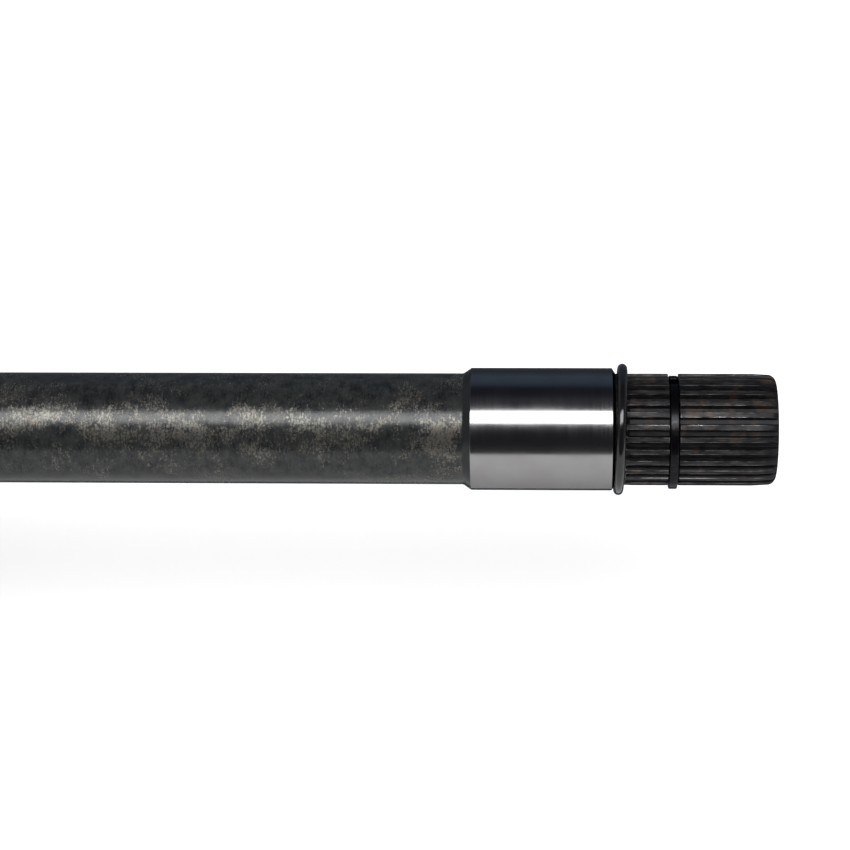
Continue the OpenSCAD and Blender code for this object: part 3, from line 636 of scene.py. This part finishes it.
def circlip():
    """Square-wire circlip that hangs low in its groove, with rounded ends at its gap."""
    half_w, half_t, corner = 1.2, 1.05, 0.35
    outer_r = 16.2
    gap_at = math.radians(-11)
    half_gap = math.radians(7)
    sag = -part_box("circlip")[0].z / MM - outer_r
    start, end = gap_at + half_gap, gap_at + 2 * math.pi - half_gap
    box = [(-half_w, -half_t), (half_w, -half_t), (half_w, half_t), (-half_w, half_t)]
    section = np.array(rounded(box, corner, 4, closed=True))
    ease = np.linspace(0, math.pi / 2, 6)
    inset = half_t * 0.6 / outer_r
    first = start + inset * (1 - np.cos(ease))
    middle = np.linspace(start + inset, end - inset, 142)[1:-1]
    last = end - inset * (1 - np.cos(ease[::-1]))
    turns = np.concatenate([first, middle, last])
    growing = 0.55 + 0.45 * np.sin(ease)
    sizes = np.concatenate([growing, np.ones(len(middle)), growing[::-1]])
    vertices = []
    for turn, size in zip(turns, sizes):
        out = np.array([0, -math.sin(turn), math.cos(turn)])
        for across, up in section * size:
            vertices.append(np.array([CLIP_X + across, 0, -sag]) + out * (outer_r - half_t + up))
    mesh = new_mesh("circlip", vertices, tube_faces(len(turns), len(section)), 50)
    return piece("circlip_wire", mesh, [MATERIALS["spring"]], "inner_shaft", ["circlip"])


# ---------------------------------------------------------------- bearing, housings and bar

def bearing_seal(side):
    """Rubber seal of the carrier bearing: a pressed rim, a dished face and a lip on the inner ring."""
    node = "carrier_seal_inboard" if side > 0 else "carrier_seal_outboard"
    x0, x1, rim = reach(node)
    face = max(side * x0, side * x1)
    lip = rim - 6.86
    points = [
        (-1.2, lip + 0.3), (-0.25, lip, 0.1), (0, lip + 0.25, 0.1), (-0.1, lip + 1.2), (-0.55, lip + 1.7),
        (-0.55, rim - 2.0), (0, rim - 1.5), (0, rim - 0.3, 0.2), (-0.3, rim, 0.2), (-1.2, rim, 0.2),
    ]
    section = [(side * (face + x), r) for x, r in rounded(points, 0.25, 3, closed=True)]
    mesh = turned(node, section, closed=True)
    return piece(node + "_rubber", mesh, [MATERIALS["seal"]], "bearing_outer", [node])


def shield():
    """Pressed dust shield: a rolled rim, a stiffening bead in its face and a collar on the shoulder."""
    bore, sheet = SHOULDER_R + 0.02, 1.2
    bead_r, bead_height, bead_w = (SHOULDER_R + SHIELD_R) / 2, 0.7, 3
    swell = np.linspace(-math.pi / 2, math.pi / 2, 13)
    bump = [(SHIELD_X1 - bead_height * math.cos(t) ** 2, bead_r + bead_w * t) for t in swell]
    outer = [(SHIELD_X0, bore), (SHIELD_X1, bore, 0.5)] + bump
    outer += [(SHIELD_X1, SHIELD_R, 1.6), (SHIELD_X1 - 4.4, SHIELD_R, 0.3)]
    inner = [(SHIELD_X1 - 4.4, SHIELD_R - sheet, 0.3), (SHIELD_X1 - sheet, SHIELD_R - sheet, 0.6)]
    inner += [(x - sheet, r) for x, r in bump[::-1]]
    inner += [(SHIELD_X1 - sheet, bore + sheet, 0.6), (SHIELD_X0, bore + sheet, 0.3)]
    mesh = turned("dust_shield", rounded(outer + inner, 0.2, 3, closed=True), closed=True)
    return piece("dust_shield_pressing", mesh, [zinc_plate()], "inner_shaft", ["dust_shield"])


def nearest(angles, count):
    """Angles from the nearest of count even directions, the first of them at 0."""
    step = 2 * math.pi / count
    return (angles + step / 2) % step - step / 2


def lobe_radius(angles):
    """Radius of the inner joint's housing outside its tracks: a round core with three rounded lobes."""
    half_w, top, corner, core, blend = 22.0, 40.0, 10.0, 34.0, 6
    off = nearest(angles, 3)
    side, up = np.abs(np.sin(off)), np.cos(off)
    y, z = half_w - corner, top - corner
    along = y * side + z * up
    round_r = along + np.sqrt(np.maximum(along ** 2 - (y * y + z * z - corner * corner), 0))
    flat = top / up
    wall = half_w / np.maximum(side, 1e-3)
    lobe = np.where(flat * side < y, flat, np.where(wall * up > z, round_r, wall))
    return (lobe + core + np.sqrt((lobe - core) ** 2 + blend)) / 2


def track_radius(angles, x):
    """Radius of the inner joint's cavity at x: a bowl flaring to the mouth, with three roller tracks."""
    half_w, top, end_x = 16.6, 33.6, INNER_X + 23.7
    bowl_r, flare, flare_length = 27, 8, 18
    off = nearest(angles, 3)
    bowl = bowl_r + flare * min(1.0, max(0.0, (MOUTH_X + flare_length - x) / flare_length))
    past_end = max(0.0, x - end_x)
    if past_end >= half_w:
        return bowl * np.ones(len(angles))
    wide = math.sqrt(half_w ** 2 - past_end ** 2)
    track = np.minimum(wide / np.maximum(np.abs(np.sin(off)), 1e-3), top / np.cos(off))
    return np.maximum(bowl, track)


def inner_housing():
    """Tulip housing of the inner joint: a machined collar, forged lobes and a neck welded to the shaft."""
    angles = sector_angles(360)
    lobes = lobe_radius(angles)
    collar_x = MOUTH_X + 18
    taper_x, floor_x = -45, -32
    outline = [
        (WELD_X, 0), (WELD_X, 32, 0.5), (WELD_X - 2, 34, 1), (taper_x, 44, 3), (collar_x + 1, 44, 0),
    ]
    rows = []
    for x, r in filled(rounded(outline), MOUTH_X, WELD_X, 2.5):
        rows.append((x, softer(lobes, r, 1.5) if r > 33 else r))
    groove_x, groove_r = MOUTH_X + 10, COLLAR_R - 0.3
    collar = [
        (collar_x, 42, 0.5), (collar_x, COLLAR_R, 0.6),
        (groove_x + 5, COLLAR_R), (groove_x + 4.6, groove_r),
        (groove_x - 4.6, groove_r), (groove_x - 5, COLLAR_R),
        (MOUTH_X, COLLAR_R, 0.8), (MOUTH_X, 38),
    ]
    rows += [(x, np.maximum(lobes, r) if r < 43 else r) for x, r in rounded(collar, 0.2)[:-1]]
    wide_steps = np.arange(MOUTH_X + 1.5, floor_x - 20, 4)
    fine_steps = np.linspace(floor_x - 18, floor_x - 0.2, 36)
    for x in np.concatenate([[MOUTH_X], wide_steps, fine_steps]):
        rows.append((x, track_radius(angles, x)))
    rows += [(floor_x, 25), (floor_x, 0)]
    mesh = turned("inner_housing", rows, angles, sharp=50)
    zoned(mesh, collar_x - 0.2, WELD_X - 2.2)
    coats = [MATERIALS["turned"], MATERIALS["forged"], MATERIALS["turned"]]
    node = "inner_joint_housing"
    return piece(node + "_forging", mesh, coats, "inner_shaft", [node])


def bar():
    """Bar between the joints: painted, with turned necks, snap ring grooves and seats for the boots."""
    neck, body_r = 11.98, 13.0
    floor_r = neck - 1.02
    paint_x0, paint_x1 = OUTER_X + 53, INNER_X - 73

    def ring_grooves(*starts):
        """Outlines of the grooves for the snap rings, one from each start."""
        made = []
        for x in starts:
            made += [(x, neck, 0.05), (x, floor_r, 0.1), (x + 1.54, floor_r, 0.1), (x + 1.54, neck, 0.05)]
        return made

    points = [(BAR_X0, 0), (BAR_X0, neck - 1), (BAR_X0 + 1, neck, 0.2)]
    points += ring_grooves(OUTER_X - 13.54, OUTER_X + 12)
    points += [(paint_x0 - 8, neck, 6), (paint_x0, body_r, 6)]
    for x in (OUTER_X + 98, INNER_X - 126):
        points += [(x, body_r, 0.3), (x + 1, BAR_SEAT_R, 0.3)]
        points += [(x + 21, BAR_SEAT_R, 0.3), (x + 22, body_r, 0.3)]
    points += [(paint_x1, body_r, 6), (paint_x1 + 8, neck, 6)]
    points += ring_grooves(INNER_X - 13.04, INNER_X + 11.5)
    points += [(BAR_X1 - 1, neck, 0.2), (BAR_X1, neck - 1), (BAR_X1, 0)]
    mesh = turned("bar", rounded(points, 0.3), sector_angles(160))
    zoned(mesh, paint_x0, paint_x1)
    coats = [MATERIALS["turned"], bar_paint(), MATERIALS["turned"]]
    return piece("bar_shaft_painted", mesh, coats, "bar", ["bar_shaft"])


def cavity_radius(angles, x):
    """Radius of the outer joint's cavity at x from its centre: a sphere with six meridian ball grooves."""
    sphere_r, groove_circle, groove_r = 33.6, 30, 9.3
    sphere = math.sqrt(max(sphere_r ** 2 - x * x, 1.0))
    off = nearest(angles - math.pi / 2, 6)
    tries = np.linspace(44, 20, 240)[:, None]
    across, up = tries * np.abs(np.sin(off)), tries * np.cos(off)
    inside = (np.sqrt(x * x + up ** 2) - groove_circle) ** 2 + across ** 2 < groove_r ** 2
    groove = np.where(inside.any(0), tries[inside.argmax(0), 0], 0)
    return np.maximum(sphere, groove)


def bell_outline():
    """Outline of the outer joint's housing, its x counted from the centre of the joint's balls."""
    outline = [
        (19, 38), (19, 43.5, 0.8), (5, 43.5, 0.3), (4, BELL_R, 0.5), (-19, BELL_R, 2.5), (-25, 41, 1.5),
        (-25.5, 36, 0.3), (-37, 36, 1.5), (-44, 30, 1.5), (-50, 30, 0.6), (-50, 15, 0.5), (-64, 15, 0.5),
        (-65, HUB_R, 0.2), (-66, HUB_R, 0), (-100, HUB_R, 0.3), (-101, 10.3, 0.5), (-103, 10.3, 0.5),
        (-104, THREAD_R, 0.2), (-126, THREAD_R, 0.3), (-128, 10.4, 0.3), (-128, 5.4, 0.3), (-124, 1.8, 0.1),
        (-121, 0),
    ]
    return filled(filled(rounded(outline), -100.5, -64.5, 1.0), -128, -103.6, 0.15)


def hub_spline(angles, x, r):
    """Radius of the hub's spline at x, its grooves running out towards the shoulder."""
    start_x, run_out = -64.6, 2.5
    into = min(1.0, max(0.0, (start_x - x) / run_out))
    depth = max(0.01, HUB_TOOTH_DEPTH * math.sqrt(1 - (1 - into) ** 2))
    return softer(groove_floor(angles, depth, HUB_TEETH, HUB_R, ROOT_HALF_W, FLANK_SLOPE), r, 0.06)


def nut_thread(angles, x, r):
    """Radius of the axle nut's thread at x, with flat crests."""
    pitch, depth = 1.5, 0.92
    turn = (angles / (2 * math.pi) + x / pitch) % 1.0
    cut = depth * np.clip(1.15 * np.abs(2 * turn - 1) - 0.06, 0, 1)
    return np.minimum(r, THREAD_R - depth + cut)


def outer_housing():
    """Bell and stub of the outer joint in one forging, with its ball cavity, hub spline and nut thread."""
    angles = sector_angles(HUB_TEETH * 16)
    floor_x, mouth_x = -28, 19
    rows = [(floor_x, 0), (floor_x, 12)]
    for x in np.concatenate([np.arange(floor_x, mouth_x, 1.5), [mouth_x]]):
        lead_in = 17.8 + x if x >= 12 else 0
        rows.append((x, np.maximum(cavity_radius(angles, x), lead_in)))
    lock_slot = (np.abs(THREAD_R * np.sin(angles)) < 1.5) & (np.cos(angles) > 0)
    for x, r in bell_outline()[1:]:
        if -101 < x < -64.4 and r > 12.5:
            r = hub_spline(angles, x, r)
        elif -126.5 < x < -103.4 and r > 10.6:
            r = nut_thread(angles, x, r)
        if -128.1 < x < -119:
            r = np.where(lock_slot, np.minimum(r, 10.0), r)
        rows.append((x, r))
    mesh = turned("outer_housing", [(OUTER_X + x, r) for x, r in rows], angles, sharp=40)
    zoned(mesh, OUTER_X - 46, OUTER_X + 4.2)
    coats = [MATERIALS["turned"], MATERIALS["forged"], MATERIALS["turned"]]
    node = "outer_joint_housing"
    return piece(node + "_forging", mesh, coats, "outer_stub", [node])


def tone_wheel():
    """Toothed ring of the wheel speed sensor, its teeth with sloping flanks and broken edges."""
    x0, x1, _ = reach("tone_ring")
    outer_r, bore = 41.5, 36.02
    teeth, tooth_height, edge = 48, 2.2, 0.35
    angles = sector_angles(teeth * 12)
    swing = np.abs((angles * teeth / (2 * math.pi)) % 1.0 - 0.5)
    tooth = np.clip((swing - 0.22) / 0.05, 0, 1)
    rows = []
    for x, drop in ((x0, edge), (x0 + edge, 0), (x1 - edge, 0), (x1, edge)):
        rows.append((x, outer_r - drop - tooth_height * (1 - tooth)))
    rows += [(x1, bore + 0.28), (x1 - 0.3, bore), (x0 + 0.3, bore), (x0, bore + 0.28)]
    mesh = turned("tone_ring", rows, angles, closed=True, sharp=30)
    coats = [sintered_steel()]
    return piece("tone_ring_sintered", mesh, coats, "outer_stub", ["tone_ring"])


# ---------------------------------------------------------------- boots and clamps

def folds(x, pitch, peaks, valleys):
    """Peaks and valleys of a boot's folds from x on, a pitch apart, towards the hub if it is negative."""
    points = []
    for i, (peak, valley) in enumerate(zip(peaks, valleys)):
        points += [(x + i * pitch, peak, 2.2), (x + (i + 0.5) * pitch, valley, 1.6)]
    return points


def boot_wall(outer, cuff):
    """Closed outline of a boot: outside, and inside a wall's thickness closer or at the cuff's own bore."""
    cuff_x = [x for x, r, size in cuff]
    inside = []
    for x, r, size in outer:
        if not min(cuff_x) - 0.01 <= x <= max(cuff_x) + 0.01:
            inside.append((x, r - BOOT_WALL, size))
    way = 1 if outer[0][0] < outer[-1][0] else -1
    inside = sorted(inside + cuff, key=lambda p: p[0] * way)
    return rounded(outer, 0.5, 6) + rounded(inside, 0.5, 6)[::-1]


def band_seat(x, r, way):
    """Outline of a boot's big cuff from x on, way 1 or -1 along X, with a shallow seat for its clamp."""
    steps = [(0, 0, 0.6), (1.2, 0, 0.3), (1.6, -0.35, 0.2), (10.4, -0.35, 0.2), (10.8, 0, 0.3)]
    return [(x + way * step, r + rise, size) for step, rise, size in steps]


def small_cuff(x, r, seat_r, way):
    """Outline of a boot's small cuff from x to its end, with a shallow seat for its clamp."""
    steps = [(0, r, 1.5), (2.6, r, 0.3), (3, seat_r, 0.2), (11, seat_r, 0.2), (11.4, r, 0.3), (14, r, 0.6)]
    return [(x + way * step, radius, size) for step, radius, size in steps]


def boot_piece(name, section, node):
    """One stretch of a boot, on no body, with its placement applied to its mesh."""
    mesh = turned(name, section, sector_angles(160), closed=True, sharp=60)
    made = piece(name, mesh, [MATERIALS["boot"]], None, [node])
    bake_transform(made)
    return made


def inner_boot():
    """Boot of the inner joint in two stretches that meet in a valley, since two joints lie under it."""
    cuff_x = MOUTH_X + 16
    small_x = INNER_X - 108
    bore = COLLAR_R + 0.02
    small_bore = 13.8
    bellows = folds(MOUTH_X - 14.75, -12.5, [44, 43, 38.5, 31], [36, 33.5, 27, 19.5])
    head = band_seat(cuff_x, COLLAR_R + 2.5, -1) + [(MOUTH_X - 1.5, COLLAR_R + 2.5, 1.2)]
    head += [(MOUTH_X - 4, 42, 1.5), (MOUTH_X - 8.5, 37, 1.6)] + bellows[:2]
    tail = bellows[1:] + small_cuff(small_x, 16.3, 16.0, -1)
    head_wall = boot_wall(head, [(cuff_x, bore, 0), (MOUTH_X - 1.5, bore, 1)])
    tail_wall = boot_wall(tail, [(small_x - 1, small_bore, 1), (small_x - 14, small_bore, 0)])
    boot_piece("inner_boot_head", head_wall, "inner_boot")
    boot_piece("inner_boot_tail", tail_wall, "inner_boot")


def outer_boot():
    """Boot of the outer joint: six folds, from the bar to the stub."""
    cuff_x = OUTER_X + 6
    cuff_r = 46.3
    bore = 43.8
    outline = band_seat(cuff_x, cuff_r, 1)
    outline += [(BELL_MOUTH_X + 1.5, cuff_r, 1.2), (BELL_MOUTH_X + 4.5, 41, 1.4)]
    outline += folds(OUTER_X + 29, 12, [44, 41, 36.5, 31.5, 26.5, 21.5], [35.5, 31.5, 28, 24.5, 21, 17.5])
    outline += small_cuff(OUTER_X + 102, 16.02, 15.7, 1)
    section = boot_wall(outline, [(cuff_x, bore, 0), (BELL_MOUTH_X + 0.5, bore, 1)])
    boot_piece("outer_boot_bellows", section, "outer_boot")


def clamp(node, body):
    """Band clamp: a thin strip, its ear pinched into a hollow loop on top and its end lapped."""
    x0, x1, band_r = reach(node)
    ear_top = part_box(node)[1].z / MM
    thick = 0.8
    ear_half_w, ear_flank = 3.1, 0.22
    pinch_half_w, pinch_depth = 0.9, 0.5
    lap_height = 0.35
    fine = np.linspace(-8, 8, 81) / band_r
    coarse = np.linspace(8 / band_r, 2 * math.pi - 8 / band_r, 180)[1:-1]
    angles = np.concatenate([fine, coarse])
    along = np.where(angles < math.pi, angles, angles - 2 * math.pi) * band_r
    rise = 1 / (1 + np.exp((np.abs(along) - ear_half_w) / ear_flank))
    dip = pinch_depth * np.exp(-((along / pinch_half_w) ** 2))
    height = (ear_top - band_r) * rise * (1 - dip)
    lap = lap_height * ((angles > 0.5) & (angles < 1.1))
    corners = [
        (x0, -thick + 0.15), (x0, -0.2), (x0 + 0.2, 0), (x1 - 0.2, 0), (x1, -0.2), (x1, -thick + 0.15),
        (x1 - 0.15, -thick), (x0 + 0.15, -thick),
    ]
    rows = [(x, band_r + height + (lap if up > -0.5 else 0) + up) for x, up in corners]
    mesh = turned(node, rows, angles, closed=True, sharp=40)
    return piece(node + "_band", mesh, [MATERIALS["band"]], body, [node])


def carried_over():
    """Finishes for the CAD nodes that stay: the bearing's and joints' inner parts, already well shaped."""
    finishes = {
        "carrier_inner_ring": "race", "carrier_outer_ring": "race", "carrier_balls": "ball",
        "carrier_cage": "brass", "carrier_snap_ring": "spring", "spider_snap_rings": "spring",
        "race_snap_rings": "spring", "tripod_spider": "spider", "outer_inner_race": "spider",
        "outer_cage": "spider",
    }
    for i in range(1, 4):
        finishes[f"tripod_roller_{i}"] = "race"
        finishes[f"tripod_needles_{i}"] = "ball"
        finishes[f"tripod_ring_{i}"] = "race"
    for i in range(1, 7):
        finishes[f"outer_ball_{i}"] = "ball"
    for node, finish in finishes.items():
        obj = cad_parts[node]
        obj.data.materials.clear()
        obj.data.materials.append(MATERIALS[finish])


# ---------------------------------------------------------------- floor, light and camera

def flat_stage(name, y0, y1, rise):
    """A flat stage sheet under the axle, rise metres above the floor."""
    gap = 0.0004
    z = cad_box[0].z - gap + rise
    x0, x1 = -1.0, 0.8
    mesh = bpy.data.meshes.new(name)
    mesh.from_pydata([(x0, y0, z), (x1, y0, z), (x1, y1, z), (x0, y1, z)], [], [[0, 1, 2, 3]])
    obj = bpy.data.objects.new(name, mesh)
    bpy.context.scene.collection.objects.link(obj)
    return obj


def floor():
    """Plain pale floor a little below the lowest point, and on it behind the axle a dim glowing sheet that
    only reflections see: painted shade of the floor there.
    """
    front, back = -0.23, 0.42
    sheet = flat_stage("floor", front, back, 0)
    pale = Finish("floor_paint", (0.74, 0.74, 0.74), 0.9, Specular_IOR_Level=0.1)
    sheet.data.materials.append(pale.material)
    # Painted shade: a dim glowing sheet behind the axle, seen only in reflections, where the floor would be
    # shaded.
    card = flat_stage("back_shade_sheet", 0.004, back, 0.0002)
    glow = Finish("shade_sheet_glow", (0, 0, 0), 1.0, Emission_Color=(*BACK_SHADE_GLOW, 1), Emission_Strength=1.0)
    card.data.materials.append(glow.material)
    card.visible_camera = card.visible_diffuse = card.visible_shadow = False


def studio():
    """White surround with dark cards above, behind and in front of the axle, that only reflections see."""
    world = bpy.data.worlds.new("studio")
    bpy.context.scene.world = world
    world.use_nodes = True
    world.cycles.sampling_method = "NONE"
    tree = world.node_tree
    direction = tree_node(tree, "TexCoord", {}).outputs["Generated"]
    parts = tree_node(tree, "SeparateXYZ", {0: direction})
    back_and_up = {0: parts.outputs[1], 1: parts.outputs[2]}
    tilt = tree_node(tree, "Math", back_and_up, operation="ARCTAN2").outputs[0]
    share = tree_node(tree, "MapRange", {0: tilt, 1: -math.pi, 2: math.pi}).outputs[0]
    cards = tree_node(tree, "ValToRGB", {0: share})
    stops = cards.color_ramp.elements
    for i, (angle, colour) in enumerate(CARDS):
        stop = stops[i] if i < 2 else stops.new(1.0)
        stop.position = (angle + 180) / 360
        stop.color = (*colour, 1)
    sideways = tree_node(tree, "Math", {0: parts.outputs[0]}, operation="ABSOLUTE").outputs[0]
    side_starts, side_only = 0.5, 0.85
    aside = tree_node(tree, "MapRange", {0: sideways, 1: side_starts, 2: side_only}).outputs[0]
    both = {0: aside, 6: cards.outputs[0], 7: (*SIDE_CARD, 1)}
    around = tree_node(tree, "Mix", both, data_type="RGBA").outputs[2]
    reflected = tree_node(tree, "LightPath", {}).outputs["Is Glossy Ray"]
    white = (WORLD_LIGHT, WORLD_LIGHT, WORLD_LIGHT, 1)
    seen = tree_node(tree, "Mix", {0: reflected, 6: white, 7: around}, data_type="RGBA").outputs[2]
    tree.links.new(seen, tree.nodes["Background"].inputs["Color"])


def soft_box():
    """One long soft box above and in front of the axle."""
    rise = math.radians(57)
    away = 1.0
    centre = Vector((0.1, 0, 0))
    light = bpy.data.lights.new("soft_box", "AREA")
    light.shape = "RECTANGLE"
    light.size, light.size_y = 1.6, 0.39
    light.energy = SOFT_BOX_POWER
    obj = bpy.data.objects.new("soft_box", light)
    towards = Vector((0, -math.cos(rise), math.sin(rise)))
    obj.location = centre + towards * away
    across = Vector((1, 0, 0))
    up = towards.cross(across)
    turn = Matrix((across, up, towards)).transposed().to_4x4()
    obj.matrix_world = Matrix.Translation(obj.location) @ turn
    obj.visible_camera = obj.visible_diffuse = False
    bpy.context.scene.collection.objects.link(obj)


def camera():
    """Camera at the viewing angle: above and in front, square to the inboard end."""
    rise = math.radians(35)
    away = 0.745
    roll = math.radians(0.18)
    place_x, target_x = TIP_X * MM - 0.0647, TIP_X * MM - 0.0999
    lift = 1.05 * MM
    data = bpy.data.cameras.new("camera")
    data.sensor_width = 36
    data.lens = 110.1
    data.clip_start, data.clip_end = 0.01, 20
    obj = bpy.data.objects.new("camera", data)
    bpy.context.scene.collection.objects.link(obj)
    place = Vector((place_x, -away * math.cos(rise), away * math.sin(rise)))
    target = Vector((target_x, lift * math.sin(rise), lift * math.cos(rise)))
    forward = (target - place).normalized()
    right = (Vector((1, 0, 0)) - forward * forward.x).normalized()
    up = right.cross(forward)
    turn = Matrix((right, up, -forward)).transposed().to_4x4()
    obj.matrix_world = Matrix.Translation(place) @ turn @ Matrix.Rotation(roll, 4, "Z")
    bpy.context.scene.camera = obj


MATERIALS = {
    "oxide": black_oxide(),
    "ground": ground_steel(),
    "spring": spring_wire(),
    "forged": forged_steel(),
    "turned": machined("turned_steel", (0.24, 0.235, 0.23), 121),
    "spider": machined("hardened_steel", (0.16, 0.158, 0.16), 131, 0.3),
    "brass": machined("cage_brass", (0.5, 0.33, 0.13), 141, 0.3),
    "race": polished("race_steel", (0.42, 0.42, 0.43), 151),
    "ball": polished("ball_steel", (0.5, 0.5, 0.51), 161, 0.08),
    "boot": boot_rubber(),
    "seal": seal_rubber(),
    "band": band_steel(),
}

camera()
studio()
soft_box()
floor()
shaft()
o_ring()
circlip()
bearing_seal(1)
bearing_seal(-1)
shield()
inner_housing()
bar()
outer_housing()
tone_wheel()
inner_boot()
outer_boot()
clamp("inner_boot_clamp_large", "inner_shaft")
clamp("inner_boot_clamp_small", "bar")
clamp("outer_boot_clamp_large", "outer_stub")
clamp("outer_boot_clamp_small", "bar")
carried_over()

bpy.context.scene.view_settings.view_transform = "Standard"
